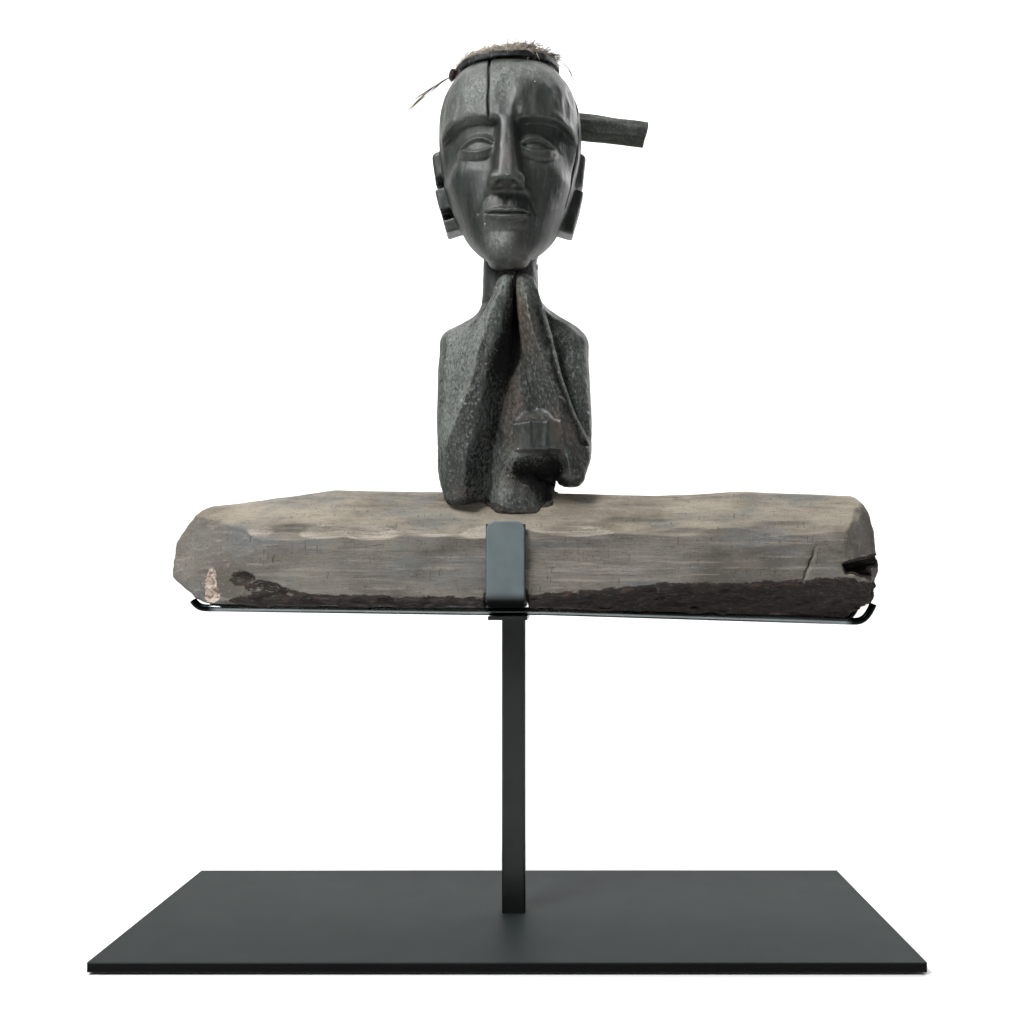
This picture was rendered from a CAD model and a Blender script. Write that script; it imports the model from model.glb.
"""Looks of the carved ancestor figure on its display stand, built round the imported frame."""

import math

import bpy
import numpy as np
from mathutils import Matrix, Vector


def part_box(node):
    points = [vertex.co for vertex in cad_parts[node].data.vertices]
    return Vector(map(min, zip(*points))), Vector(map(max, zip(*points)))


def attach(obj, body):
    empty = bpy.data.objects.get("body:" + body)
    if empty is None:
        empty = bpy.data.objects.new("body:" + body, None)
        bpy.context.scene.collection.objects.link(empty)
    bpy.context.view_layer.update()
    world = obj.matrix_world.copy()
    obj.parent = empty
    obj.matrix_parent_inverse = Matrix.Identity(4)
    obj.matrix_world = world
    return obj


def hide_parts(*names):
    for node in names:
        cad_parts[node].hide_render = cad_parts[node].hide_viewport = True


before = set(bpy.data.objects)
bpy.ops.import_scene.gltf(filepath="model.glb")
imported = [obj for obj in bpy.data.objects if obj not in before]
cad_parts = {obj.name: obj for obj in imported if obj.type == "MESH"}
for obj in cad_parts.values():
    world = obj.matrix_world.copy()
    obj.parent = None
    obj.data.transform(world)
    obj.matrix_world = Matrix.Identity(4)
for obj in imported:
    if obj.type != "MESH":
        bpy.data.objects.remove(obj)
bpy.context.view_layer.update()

MM = 0.001  # sculpting is done in millimetres, and Blender's objects are in metres
FAR = 20.0  # distance given to empty space
MARGIN = 9.0  # how far round a shape its distances are worked out


def grid_step(full):
    """Step of a carving's grid, in millimetres."""
    return full


STEP_FIGURE = grid_step(0.75)


def corners(node):
    """Lowest and highest corner of a CAD node, in millimetres."""
    low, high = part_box(node)
    return np.array(low) / MM, np.array(high) / MM


# ---------------------------------------------------------------- sculpting with distances


def smooth_min(a, b, soft):
    if soft <= 0:
        return np.minimum(a, b)
    near = np.maximum(soft - np.abs(a - b), 0) / soft
    return np.minimum(a, b) - near * near * soft / 4


def smooth_max(a, b, soft):
    return -smooth_min(-a, -b, soft)


def fade(value, start, end):
    """0 before start, 1 after end, smooth between. It also runs backwards."""
    share = np.clip((value - start) / (end - start), 0, 1)
    return share * share * (3 - 2 * share)


def bell(value, width):
    """1 at zero, falling off smoothly on both sides."""
    return np.exp(-((value / width) ** 2))


def read(table, at):
    """Reads a table of (place, value) pairs at the given places."""
    return np.interp(at, *zip(*table))


def curve_through(knots, values, at):
    """A smooth curve through (knots, values), read at the given places."""
    knots, values = np.asarray(knots, float), np.asarray(values, float)
    slopes = np.gradient(values, knots)
    at = np.clip(at, knots[0], knots[-1])
    i = np.clip(np.searchsorted(knots, at) - 1, 0, len(knots) - 2)
    width = knots[i + 1] - knots[i]
    t = (at - knots[i]) / width
    keep = 2 * t**3 - 3 * t**2 + 1
    bend = (t**3 - 2 * t**2 + t) * slopes[i] + (t**3 - t**2) * slopes[i + 1]
    return keep * values[i] + (1 - keep) * values[i + 1] + bend * width


def radial(dx, dy, dz, w, d, h, power):
    """Distance to a superellipsoid of half-axes w, d and h, measured towards its centre."""
    q = (np.abs(dx / w) ** power + np.abs(dy / d) ** power + np.abs(dz / h) ** power) ** (1 / power)
    r = np.sqrt(dx * dx + dy * dy + dz * dz)
    inner = np.minimum(np.minimum(w, d), h) * (q - 1)
    return np.where(q > 0.05, r - r / np.maximum(q, 0.05), inner)


def rounded(a, b, radius):
    """The corner between two distances, rounded off by a radius."""
    p, q = a + radius, b + radius
    return np.hypot(np.maximum(p, 0), np.maximum(q, 0)) + np.minimum(np.maximum(p, q), 0) - radius


class Shape:
    """A distance function in millimetres, with the box that holds it."""

    def __init__(self, distance, low, high):
        self.distance, self.low, self.high = distance, np.array(low, float), np.array(high, float)


def loft(levels, power, cap_low=4.0, cap_high=4.0):
    """Superelliptic sections [z, half-width, half-depth, x, y] from the bottom up, with rounded ends."""
    rows = np.array(levels, float)
    knots = rows[:, 0]

    def distance(x, y, z):
        level = np.clip(z, knots[0], knots[-1])
        w, d, cx, cy = (curve_through(knots, rows[:, n], level) for n in range(1, 5))
        beyond = z - level
        cap = np.where(beyond > 0, cap_high, cap_low)
        return radial(x - cx, y - cy, beyond, w, d, cap, power)

    halves, middles = rows[:, 1:3], rows[:, 3:5]
    low = [*(middles - halves).min(0), knots[0] - cap_low]
    high = [*(middles + halves).max(0), knots[-1] + cap_high]
    return Shape(distance, low, high)


def wedge(levels, soft=1.5, ends=4.0):
    """Flat-sided sections [z, (x, y), (x, y), ...] from the bottom up, each with a convex outline that
    runs anticlockwise as seen from above."""
    knots = np.array([level[0] for level in levels], float)
    outlines = np.array([level[1:] for level in levels], float)

    def distance(x, y, z):
        level = np.clip(z, knots[0], knots[-1])
        corner = [
            [curve_through(knots, row[:, k], level) for k in range(2)] for row in outlines.swapaxes(0, 1)
        ]
        made = -FAR
        for (ax, ay), (bx, by) in zip(corner, corner[1:] + corner[:1]):
            out = ((x - ax) * (by - ay) - (y - ay) * (bx - ax)) / np.hypot(bx - ax, by - ay)
            made = smooth_max(made, out, soft)
        return smooth_max(made, np.maximum(z - knots[-1], knots[0] - z), ends)

    flat = outlines.reshape(-1, 2)
    return Shape(distance, [*flat.min(0), knots[0]], [*flat.max(0), knots[-1]])


def ellipsoid(centre, radii):
    centre, radii = np.array(centre, float), np.array(radii, float)

    def distance(x, y, z):
        return radial(x - centre[0], y - centre[1], z - centre[2], *radii, 2)

    return Shape(distance, centre - radii, centre + radii)


def block(centre, half, round_by=1.0, turn=0.0, spin=0.0):
    """A box with rounded edges, turned about Y and then spun about Z by angles in degrees."""
    centre, half = np.array(centre, float), np.array(half, float)
    c, s = math.cos(math.radians(turn)), math.sin(math.radians(turn))
    e, f = math.cos(math.radians(spin)), math.sin(math.radians(spin))

    def distance(x, y, z):
        ox, oy, dz = x - centre[0], y - centre[1], z - centre[2]
        dx, dy = e * ox + f * oy, e * oy - f * ox
        p = [np.abs(c * dx - s * dz), np.abs(dy), np.abs(s * dx + c * dz)]
        p = [part - (size - round_by) for part, size in zip(p, half)]
        outside = np.sqrt(sum(np.maximum(part, 0) ** 2 for part in p))
        return outside + np.minimum(np.maximum(np.maximum(p[0], p[1]), p[2]), 0) - round_by

    wide = abs(c) * half[0] + abs(s) * half[2]
    tall = abs(s) * half[0] + abs(c) * half[2]
    reach = np.array([abs(e) * wide + abs(f) * half[1], abs(f) * wide + abs(e) * half[1], tall])
    return Shape(distance, centre - reach, centre + reach)


class Carving:
    """A solid held as distances on a grid, in millimetres: negative inside."""

    def __init__(self, low, high, step):
        self.low, self.step = np.array(low, float), step
        count = np.ceil((np.array(high) - self.low) / step).astype(int) + 1
        self.field = np.full(count, FAR, np.float32)

    def axes(self):
        """The grid's x, y and z, shaped so that they combine into the whole grid."""
        x, y, z = (self.low[n] + self.step * np.arange(count) for n, count in enumerate(self.field.shape))
        return x[:, None, None], y[None, :, None], z[None, None, :]

    def window(self, low, high):
        """The part of the grid between two corners, and its x, y and z."""
        count = np.array(self.field.shape)
        first = np.clip(np.floor((np.array(low) - self.low) / self.step), 0, count - 2).astype(int)
        last = np.clip(np.ceil((np.array(high) - self.low) / self.step) + 1, first + 2, count).astype(int)
        part = tuple(slice(a, b) for a, b in zip(first, last))
        x, y, z = self.axes()
        return part, x[part[0]], y[:, part[1]], z[:, :, part[2]]

    def join(self, shape, soft=0.0):
        part, x, y, z = self.window(shape.low - MARGIN, shape.high + MARGIN)
        self.field[part] = smooth_min(self.field[part], shape.distance(x, y, z), soft)

    def cut(self, shape, soft=0.0):
        part, x, y, z = self.window(shape.low - soft - 1, shape.high + soft + 1)
        self.field[part] = smooth_max(self.field[part], -shape.distance(x, y, z), soft)

    def lift(self, height, low=None, high=None):
        """Raises the skin by a height, a function of x, y and z. A negative height sinks it."""
        top = self.low + self.step * np.array(self.field.shape)
        part, x, y, z = self.window(self.low if low is None else low, top if high is None else high)
        self.field[part] -= height(x, y, z).astype(np.float32)

    def read(self, points):
        """The distances at points, from the nearest grid cell."""
        index = np.rint((points - self.low) / self.step).astype(int)
        index = np.clip(index, 0, np.array(self.field.shape) - 1)
        return self.field[tuple(index.T)]

    def knife(self, rng, wanted, grain, width, length, depth, spacing, keep=None):
        """Shallow hollow knife cuts over the convex skin, drawn out along the grain. Width and length are
        the cuts' radii of curvature. Where keep gives False, there are none."""
        grain = np.array(grain, float)
        skin = np.argwhere(np.abs(self.field) < self.step * 0.5)
        skin = skin[rng.permutation(len(skin))[: wanted * 12]]
        points = self.low + skin * self.step
        reach = 2.0
        slopes = [self.read(points + reach * axis) - self.read(points - reach * axis) for axis in np.eye(3)]
        normals = np.stack(slopes, 1)
        normals /= np.maximum(np.linalg.norm(normals, axis=1, keepdims=True), 1e-6)
        made = np.empty((0, 3))
        for centre, normal in zip(points, normals):
            if len(made) >= wanted:
                break
            if keep is not None and not keep(*centre):
                continue
            if len(made) and np.min(np.linalg.norm(made - centre, axis=1)) < spacing:
                continue
            along = grain - normal * (grain @ normal)
            if np.linalg.norm(along) < 0.2:
                continue
            along /= np.linalg.norm(along)
            across = np.cross(normal, along)
            around = centre + np.array([6 * across, -6 * across, 9 * along, -9 * along])
            if self.read(around).min() < -0.4:
                continue
            made = np.vstack([made, centre])
            self.knife_cut(centre, normal, along, across, width, length, depth * rng.uniform(0.5, 1.5))

    def knife_cut(self, centre, normal, along, across, width, length, depth):
        half = 0.9 * math.sqrt(2 * depth * length) + 6
        part, x, y, z = self.window(centre - half, centre + half)
        dx, dy, dz = x - centre[0], y - centre[1], z - centre[2]
        out, t, s = (dx * v[0] + dy * v[1] + dz * v[2] for v in (normal, along, across))
        floor = out + depth - s * s / (2 * width) - t * t / (2 * length)
        field = self.field[part]
        most = field + 2.2 * depth * fade(floor, 4.5 * depth, 2.2 * depth)
        self.field[part] = np.minimum(smooth_max(field, floor, 0.35), np.maximum(field, most))

    def skin(self):
        """The surface as points, in millimetres, and quads, by surface nets."""
        field, shape = self.field, np.array(self.field.shape)
        inside = field < 0
        places, cells, loops = [], [], []
        strides = np.array([shape[1] * shape[2], shape[2], 1])
        for axis in range(3):
            before = tuple(slice(None, -1) if n == axis else slice(1, None) for n in range(3))
            after = tuple(slice(1, None) for n in range(3))
            crossing = np.argwhere(inside[before] != inside[after])
            crossing += np.array([0 if n == axis else 1 for n in range(3)])
            ahead = crossing.copy()
            ahead[:, axis] += 1
            a, b = field[tuple(crossing.T)], field[tuple(ahead.T)]
            place = crossing.astype(float)
            place[:, axis] += a / (a - b)
            u, v = (axis + 1) % 3, (axis + 2) % 3
            corner = []
            for du, dv in ((-1, -1), (0, -1), (0, 0), (-1, 0)):
                cell = crossing.copy()
                cell[:, u] += du
                cell[:, v] += dv
                corner.append(cell @ strides)
                places.append(place)
            cells.extend(corner)
            loop = np.stack(corner, 1)
            loop[a > b] = loop[a > b][:, ::-1]
            loops.append(loop)
        names, index = np.unique(np.concatenate(cells), return_inverse=True)
        places = np.concatenate(places)
        amount = np.bincount(index)
        points = np.stack([np.bincount(index, places[:, n]) / amount for n in range(3)], 1)
        quads = np.searchsorted(names, np.concatenate(loops))
        return self.low + points * self.step, quads


def noise_grid(shape, cell, rng):
    """Smooth random values, about -1 to 1, with lumps of cell = (x, y, z) grid steps."""
    weights = []
    for count, size in zip(shape, cell):
        place = np.arange(count) / size
        first = np.floor(place).astype(int)
        share = fade(place - first, 0, 1)
        rows = np.zeros((count, first[-1] + 2), np.float32)
        rows[np.arange(count), first] = 1 - share
        rows[np.arange(count), first + 1] += share
        weights.append(rows)
    lattice = rng.uniform(-1, 1, [w.shape[1] for w in weights]).astype(np.float32)
    made = np.tensordot(weights[0], lattice, (1, 0))
    made = np.tensordot(made, weights[1], (1, 1)).transpose(0, 2, 1)
    return np.tensordot(made, weights[2], (2, 1))


def roughen(carving, rng, cell, height, where=None):
    """Raises and sinks the skin by random lumps, of cell = (x, y, z) millimetres."""
    lumps = noise_grid(carving.field.shape, np.array(cell) / carving.step, rng)
    share = 1.0 if where is None else where(*carving.axes())
    carving.field -= (height * lumps * share).astype(np.float32)


# ---------------------------------------------------------------- meshes


def mesh_object(name, points, faces):
    """A mesh from points in millimetres."""
    mesh = bpy.data.meshes.new(name)
    mesh.from_pydata((np.asarray(points) * MM).tolist(), [], [list(map(int, f)) for f in faces])
    mesh.shade_smooth()
    mesh.validate()
    made = bpy.data.objects.new(name, mesh)
    bpy.context.scene.collection.objects.link(made)
    return made


def write_values(made, **values):
    """Stores one value per point under each name, for the materials."""
    for name, value in values.items():
        attribute = made.data.attributes.new(name, "FLOAT", "POINT")
        attribute.data.foreach_set("value", value.astype(np.float32))


def convexity(points, quads, rounds):
    """How far each point stands proud of its surroundings, in millimetres, and the way it faces."""
    edges = np.concatenate([quads[:, [n, (n + 1) % 4]] for n in range(4)])
    a, b = np.concatenate([edges, edges[:, ::-1]]).T
    amount = np.maximum(np.bincount(a, minlength=len(points)), 1)[:, None]
    smooth = points.copy()
    for _ in range(rounds):
        total = np.stack([np.bincount(a, smooth[b, n], minlength=len(points)) for n in range(3)], 1)
        smooth = 0.5 * smooth + 0.5 * total / amount
    corner = [points[quads[:, n]] for n in range(4)]
    cross = np.cross(corner[2] - corner[0], corner[3] - corner[1])
    normal = np.zeros_like(points)
    for n in range(4):
        for k in range(3):
            normal[:, k] += np.bincount(quads[:, n], cross[:, k], minlength=len(points))
    normal /= np.maximum(np.linalg.norm(normal, axis=1, keepdims=True), 1e-9)
    return ((points - smooth) * normal).sum(1), normal


def carved_object(name, carving, rounds):
    """The mesh of a carving, with its proud places marked. Also returns its points, their convexity
    and their normals."""
    points, quads = carving.skin()
    made = mesh_object(name, points, quads)
    proud, normal = convexity(points, quads, rounds)
    write_values(made, proud=proud)
    return made, points, proud, normal


def finish_piece(made, slot, material, *nodes):
    """Gives a piece its material, and ties it to the frame."""
    made.data.materials.clear()
    made.data.materials.append(material)
    if nodes:
        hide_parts(*nodes)
    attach(made, "root")


# ---------------------------------------------------------------- materials


class Paint:
    """A node material, built from small steps that each return a socket."""

    def __init__(self, name):
        self.material = bpy.data.materials.new(name)
        self.material.use_nodes = True
        self.tree = self.material.node_tree
        self.surface = self.tree.nodes["Principled BSDF"]
        self.place = self.node("TexCoord", output="Object")

    def node(self, kind, inputs=None, output=0, **settings):
        made = self.tree.nodes.new("ShaderNode" + kind)
        for name, value in settings.items():
            setattr(made, name, value)
        for name, value in (inputs or {}).items():
            self.feed(made.inputs[name], value)
        return made.outputs[output]

    def feed(self, socket, value):
        if isinstance(value, bpy.types.NodeSocket):
            self.tree.links.new(value, socket)
        elif hasattr(value, "__len__") and len(value) == 3 and len(socket.default_value) == 4:
            socket.default_value = (*value, 1)
        else:
            socket.default_value = value

    def set(self, **inputs):
        for name, value in inputs.items():
            self.feed(self.surface.inputs[name.replace("_", " ")], value)

    def noise(self, scale, detail, rough, stretch=(1, 1, 1), shift=(0, 0, 0), warp=0.0):
        inputs = {
            "Vector": self.node("Mapping", {"Vector": self.place, "Scale": stretch, "Location": shift}),
            "Scale": scale,
            "Detail": detail,
            "Roughness": rough,
            "Distortion": warp,
        }
        return self.node("TexNoise", inputs)

    def span(self, value, low, high, to_low=0.0, to_high=1.0):
        inputs = {0: value, 1: low, 2: high, 3: to_low, 4: to_high}
        return self.node("MapRange", inputs, interpolation_type="SMOOTHSTEP")

    def calc(self, kind, a, b=0.0, clamp=False):
        return self.node("Math", {0: a, 1: b}, operation=kind, use_clamp=clamp)

    def both(self, a, b):
        """The product of two shares."""
        return self.calc("MULTIPLY", a, b, clamp=True)

    def part(self, vector, axis):
        return self.node("SeparateXYZ", {0: vector}, output=axis)

    def upward(self):
        """How far the surface faces up."""
        return self.part(self.node("NewGeometry", output="Normal"), 2)

    def mix(self, share, a, b):
        return self.node("Mix", {0: share, 6: a, 7: b}, output=2, data_type="RGBA")

    def value(self, name):
        return self.node("Attribute", output="Fac", attribute_name=name)

    def bump(self, height, distance, strength=1.0, normal=None):
        inputs = {"Height": height, "Distance": distance, "Strength": strength}
        if normal is not None:
            inputs["Normal"] = normal
        return self.node("Bump", inputs)


def ragged(paint, share, noise):
    """A soft share turned into a patch whose border is broken up by a noise."""
    border = paint.calc("ADD", share, paint.span(noise, 0.35, 0.65, -0.4, 0.4))
    return paint.calc("MULTIPLY", paint.span(border, 0.35, 0.75), paint.span(share, 0.02, 0.25, 0, 0.95))


def carved_wood(name, dark, mid, light, brown, sheen):
    """Dark handled wood: grey-green, drier and paler on proud edges, brown where it is worn."""
    paint = Paint(name)
    grain = paint.noise(260, 5, 0.65, (1, 1, 0.16))
    broad = paint.noise(26, 3, 0.55, (1, 1, 0.5))
    patch = paint.noise(60, 4, 0.6, (1, 1, 0.45), (0.3, 0.1, 0.7))
    fine = paint.noise(900, 3, 0.7)
    grit = paint.noise(620, 5, 0.8, (1, 1, 0.7))
    proud, dry, worn = paint.value("proud"), paint.value("dry"), paint.value("worn")
    gritty, soot = paint.value("grit"), paint.value("soot")
    tone = paint.mix(paint.span(broad, 0.38, 0.66), dark, mid)
    tone = paint.mix(paint.span(grain, 0.5, 0.72, 0, 0.4), tone, light)
    tone = paint.mix(paint.both(paint.span(patch, 0.38, 0.6), worn), tone, brown)
    edge = paint.both(paint.span(proud, 0.05, 0.4), paint.span(fine, 0.3, 0.62))
    tone = paint.mix(paint.calc("MULTIPLY", edge, 0.6), tone, light)
    paler = [1.35 * part for part in light]
    tone = paint.mix(paint.both(dry, paint.span(patch, 0.3, 0.6, 0.5, 0.9)), tone, paler)
    tone = paint.mix(paint.both(gritty, paint.span(grit, 0.51, 0.62, 0, 0.85)), tone, paler)
    pits = paint.both(paint.calc("MAXIMUM", gritty, dry), paint.span(grit, 0.48, 0.38, 0, 0.9))
    tone = paint.mix(pits, tone, (0.010, 0.011, 0.010))
    crust = paint.both(dry, paint.span(grit, 0.53, 0.64, 0, 0.7))
    tone = paint.mix(crust, tone, (0.21, 0.215, 0.195))
    deep = paint.span(paint.value("deep"), 0.25, 2.2, 0, 0.85)
    hollow = paint.calc("MAXIMUM", paint.span(proud, -0.1, -0.9, 0, 0.8), deep)
    hollow = paint.calc("MAXIMUM", hollow, ragged(paint, soot, grit))
    tone = paint.mix(hollow, tone, (0.004, 0.0045, 0.004))
    cells = paint.node("TexVoronoi", {"Vector": paint.place, "Scale": 260}).node.outputs
    chance = paint.node("TexWhiteNoise", {"Vector": cells["Position"]})
    few = paint.span(chance, 0.985, 0.988)
    fleck = paint.calc("MULTIPLY", paint.span(cells["Distance"], 0.16, 0.08), few)
    tone = paint.mix(fleck, tone, (0.5, 0.47, 0.42))
    gloss = paint.span(broad, 0.35, 0.7, sheen[0], sheen[1])
    gloss = paint.calc("ADD", gloss, paint.calc("MULTIPLY", dry, 0.2), clamp=True)
    gloss = paint.calc("ADD", gloss, paint.calc("MULTIPLY", hollow, 0.25), clamp=True)
    grain_bump = paint.bump(paint.noise(420, 6, 0.7, (1, 1, 0.2)), 0.0006, 0.45)
    pores = paint.bump(paint.noise(1300, 4, 0.8), 0.0003, 0.5, grain_bump)
    shine = paint.span(hollow, 0, 1, 0.42, 0.08)
    paint.set(Base_Color=tone, Roughness=gloss, Normal=pores, Specular_IOR_Level=shine)
    return paint.material


def weathered_wood():
    """The beam's bare grey-brown wood, with open grain along X and dark broken places."""
    paint = Paint("beam_wood")
    lines = paint.noise(330, 6, 0.7, (0.06, 1, 1), warp=0.2)
    thin = paint.noise(1500, 4, 0.75, (0.08, 1, 1))
    ticks = paint.noise(700, 3, 0.7, (1, 0.5, 0.14))
    specks = paint.noise(1300, 4, 0.8, (0.45, 1, 1))
    broad = paint.noise(24, 5, 0.65, (0.6, 1, 1))
    blue = paint.noise(30, 4, 0.6, (0.5, 1, 1), (0.7, 0.2, 0.4))
    clouds = paint.span(broad, 0.36, 0.64)
    side = paint.mix(clouds, (0.078, 0.070, 0.059), (0.155, 0.141, 0.122))
    upper = paint.mix(clouds, (0.145, 0.124, 0.095), (0.26, 0.23, 0.18))
    tone = paint.mix(paint.span(paint.upward(), 0.25, 0.7), side, upper)
    for share, colour in [
        (paint.span(blue, 0.48, 0.66, 0, 0.75), (0.115, 0.124, 0.124)),
        (paint.span(lines, 0.5, 0.7, 0, 0.65), (0.26, 0.235, 0.20)),
        (paint.span(thin, 0.54, 0.72, 0, 0.8), (0.026, 0.022, 0.018)),
        (paint.span(ticks, 0.60, 0.72, 0, 0.65), (0.026, 0.022, 0.018)),
        (paint.span(specks, 0.58, 0.68, 0, 0.6), (0.020, 0.017, 0.014)),
        (paint.span(specks, 0.40, 0.32, 0, 0.5), (0.34, 0.31, 0.27)),
    ]:
        tone = paint.mix(share, tone, colour)
    proud, broken, fresh = paint.value("proud"), paint.value("broken"), paint.value("fresh")
    edge = paint.both(paint.span(proud, 0.12, 0.6), paint.span(thin, 0.3, 0.55))
    edge = paint.calc("MULTIPLY", edge, paint.span(broken, 0, 1, 0.7, 0.2))
    tone = paint.mix(edge, tone, (0.36, 0.34, 0.30))
    pale = paint.mix(paint.span(lines, 0.35, 0.6), (0.15, 0.13, 0.105), (0.36, 0.325, 0.27))
    pale_share = paint.calc("MULTIPLY", paint.value("pale"), paint.span(specks, 0.62, 0.5, 0.2, 0.9))
    tone = paint.mix(pale_share, tone, pale)
    splinter = paint.noise(420, 5, 0.8, (0.3, 1, 1))
    dark = paint.mix(paint.span(splinter, 0.46, 0.7), (0.0045, 0.0035, 0.003), (0.045, 0.027, 0.020))
    tone = paint.mix(ragged(paint, broken, splinter), tone, dark)
    grain = paint.span(paint.noise(300, 4, 0.7), 0.38, 0.58)
    pink = paint.mix(grain, (0.17, 0.115, 0.09), (0.50, 0.42, 0.36))
    tone = paint.mix(ragged(paint, fresh, splinter), tone, pink)
    hollow = paint.span(proud, -0.15, -0.9)
    tone = paint.mix(paint.calc("MULTIPLY", hollow, 0.85), tone, (0.010, 0.008, 0.007))
    rough_lines = paint.bump(lines, 0.0008, 0.7)
    fibres = paint.bump(thin, 0.0004, 0.7, rough_lines)
    paint.set(Base_Color=tone, Roughness=paint.span(lines, 0.3, 0.7, 0.66, 0.9), Normal=fibres)
    paint.set(Specular_IOR_Level=0.25)
    return paint.material


def lacquered(name, colour, rough, speckle, metal=0.0, shine=0.5, edge_colour=None, dark=None):
    """Lacquered or waxed steel: a fine mottle in colour and gloss, and a faint brushed bump. Upright
    edges can have their own colour. With dark = (axis, middle, start, end), in millimetres, the steel
    turns black along an axis, from start to end as measured from the middle."""
    paint = Paint(name)
    mottle = paint.noise(38, 5, 0.6)
    dust = paint.noise(700, 4, 0.75)
    darker, lighter = ([c * (1 + change) for c in colour] for change in (-speckle, speckle))
    tone = paint.mix(paint.span(mottle, 0.3, 0.7), darker, lighter)
    tone = paint.mix(paint.span(dust, 0.66, 0.8, 0, 0.25), tone, [min(1, c * 2.5 + 0.02) for c in colour])
    if edge_colour is not None:
        tone = paint.mix(paint.span(paint.calc("ABSOLUTE", paint.upward()), 0.9, 0.5), tone, edge_colour)
    if dark is not None:
        axis, middle, start, end = dark
        along = paint.calc("ABSOLUTE", paint.calc("SUBTRACT", paint.part(paint.place, axis), middle * MM))
        tone = paint.mix(paint.span(along, start * MM, end * MM), tone, (0.004, 0.005, 0.005))
        shine = paint.span(along, start * MM, end * MM, shine, 0.03)
    gloss = paint.span(mottle, 0.3, 0.7, rough - 0.4 * speckle, rough + 0.4 * speckle)
    bump = paint.bump(paint.noise(1500, 3, 0.7), 0.0001, 0.25)
    paint.set(Base_Color=tone, Roughness=gloss, Metallic=metal, Normal=bump, Specular_IOR_Level=shine)
    return paint.material


def felt():
    paint = Paint("felt")
    fuzz = paint.noise(2200, 5, 0.8)
    tone = paint.mix(paint.span(fuzz, 0.35, 0.7), (0.006, 0.006, 0.007), (0.035, 0.035, 0.038))
    paint.set(Base_Color=tone, Roughness=0.95, Normal=paint.bump(fuzz, 0.0004, 0.8), Sheen_Weight=0.4)
    return paint.material


def gum(name, low, high, edge, rough):
    """Old resinous gum with dirt in it: lumpy, and paler on its proud edges."""
    paint = Paint(name)
    lumps = paint.noise(330, 5, 0.7)
    tone = paint.mix(paint.span(lumps, 0.4, 0.7), low, high)
    tone = paint.mix(paint.span(paint.value("proud"), 0.05, 0.35, 0, 0.6), tone, edge)
    paint.set(Base_Color=tone, Roughness=paint.span(lumps, 0.35, 0.7, rough, rough + 0.2))
    paint.set(Normal=paint.bump(lumps, 0.0007, 0.7), Specular_IOR_Level=0.3)
    return paint.material


def strands(name, low, high, rough):
    """Fibres, each with its own tone between low and high."""
    paint = Paint(name)
    streak = paint.noise(1500, 3, 0.7)
    share = paint.calc("ADD", paint.value("shade"), paint.span(streak, 0.3, 0.7, -0.15, 0.15), clamp=True)
    paint.set(Base_Color=paint.mix(share, low, high), Roughness=rough, Normal=paint.bump(streak, 0.0002, 0.4))
    return paint.material


# ---------------------------------------------------------------- the beam

FELT_TOP = 1.5  # from the felt's lowest point to the beam's seat, felt and gap together
SEAT = corners("strap_felt")[0][2] + FELT_TOP
BEAM_LOW, BEAM_HIGH = corners("beam")
FRONT, BACK = BEAM_LOW[1], BEAM_HIGH[1]
LEFT_END, RIGHT_END = BEAM_LOW[0], BEAM_HIGH[0]
FRONT_ARRIS, BACK_ARRIS = 45.0, 47.0  # heights of the long upper edges above the seat
GAP = 0.3  # clearance between pieces that touch
RAIL_RADIUS = 2.5
RAIL_LEVEL = corners("saddle_plate")[1][2] + GAP + RAIL_RADIUS
BELLY = SEAT - RAIL_LEVEL - RAIL_RADIUS - GAP  # how far the beam reaches below its seat, past the strap

# Along X: height of the ridge above the seat.
RIDGE = [
    (-234, 62), (-205, 64.5), (-170, 69), (-122, 76), (-60, 74.5), (22, 74), (95, 71.5), (160, 74), (249, 71),
]

# Hewn end faces: a point [x, y, height above the seat] and the direction that each faces.
END_FACES = [
    ((-170, FRONT, 30), (-19, -48, 0)),
    ((-182, BACK, 30), (-20, 40, 3)),
    ((LEFT_END, 0, 24), (-40, -5, 5)),
    ((-213, 0, 61), (-24, -2, 21)),
    ((-209, 0, -2.4), (-10, -1, -19)),
    ((-228, 0, 9.7), (-12, -2, -12)),
    ((224, FRONT, 30), (24, -22, 4)),
    ((233, BACK, 30), (20, 21, 2)),
    ((RIGHT_END, 0, 30), (40, -2, 2)),
    ((236, 0, 68), (18, 1, 13.5)),
    ((226, 0, -9.6), (6.2, 0, -10)),
    ((244, 0, 5), (12, 0, -6)),
]


def slope(x):
    """How far the beam's lower side and the rails have risen to the left, or fallen to the right."""
    beyond = np.maximum(0, np.abs(x) - 22)
    return np.where(x < 0, 3 * beyond / 212, -7 * beyond / 227.5)


def underside(x):
    """Height of the beam's underside above its seat, which is notched in for the strap."""
    return slope(x) - BELLY * fade(np.abs(x + 4), 14.2, 15)


def blank(x, y, z):
    """Distance to the squared and hewn beam, before its surface is worked."""
    height = z - SEAT
    ridge = read(RIDGE, x)
    rise = (ridge - FRONT_ARRIS) / 27
    fall = (ridge - BACK_ARRIS) / 28
    faces = [
        FRONT - y,
        y - BACK,
        underside(x) - height,
        height - ridge,
        (height - FRONT_ARRIS - (y - FRONT) * rise) / np.sqrt(1 + rise * rise),
        (height - BACK_ARRIS - (BACK - y) * fall) / np.sqrt(1 + fall * fall),
    ]
    for (px, py, pz), facing in END_FACES:
        nx, ny, nz = np.array(facing) / np.linalg.norm(facing)
        faces.append((x - px) * nx + (y - py) * ny + (height - pz) * nz)
    made = faces[0]
    for face in faces[1:]:
        made = smooth_max(made, face, 2.5)
    return made


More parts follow.
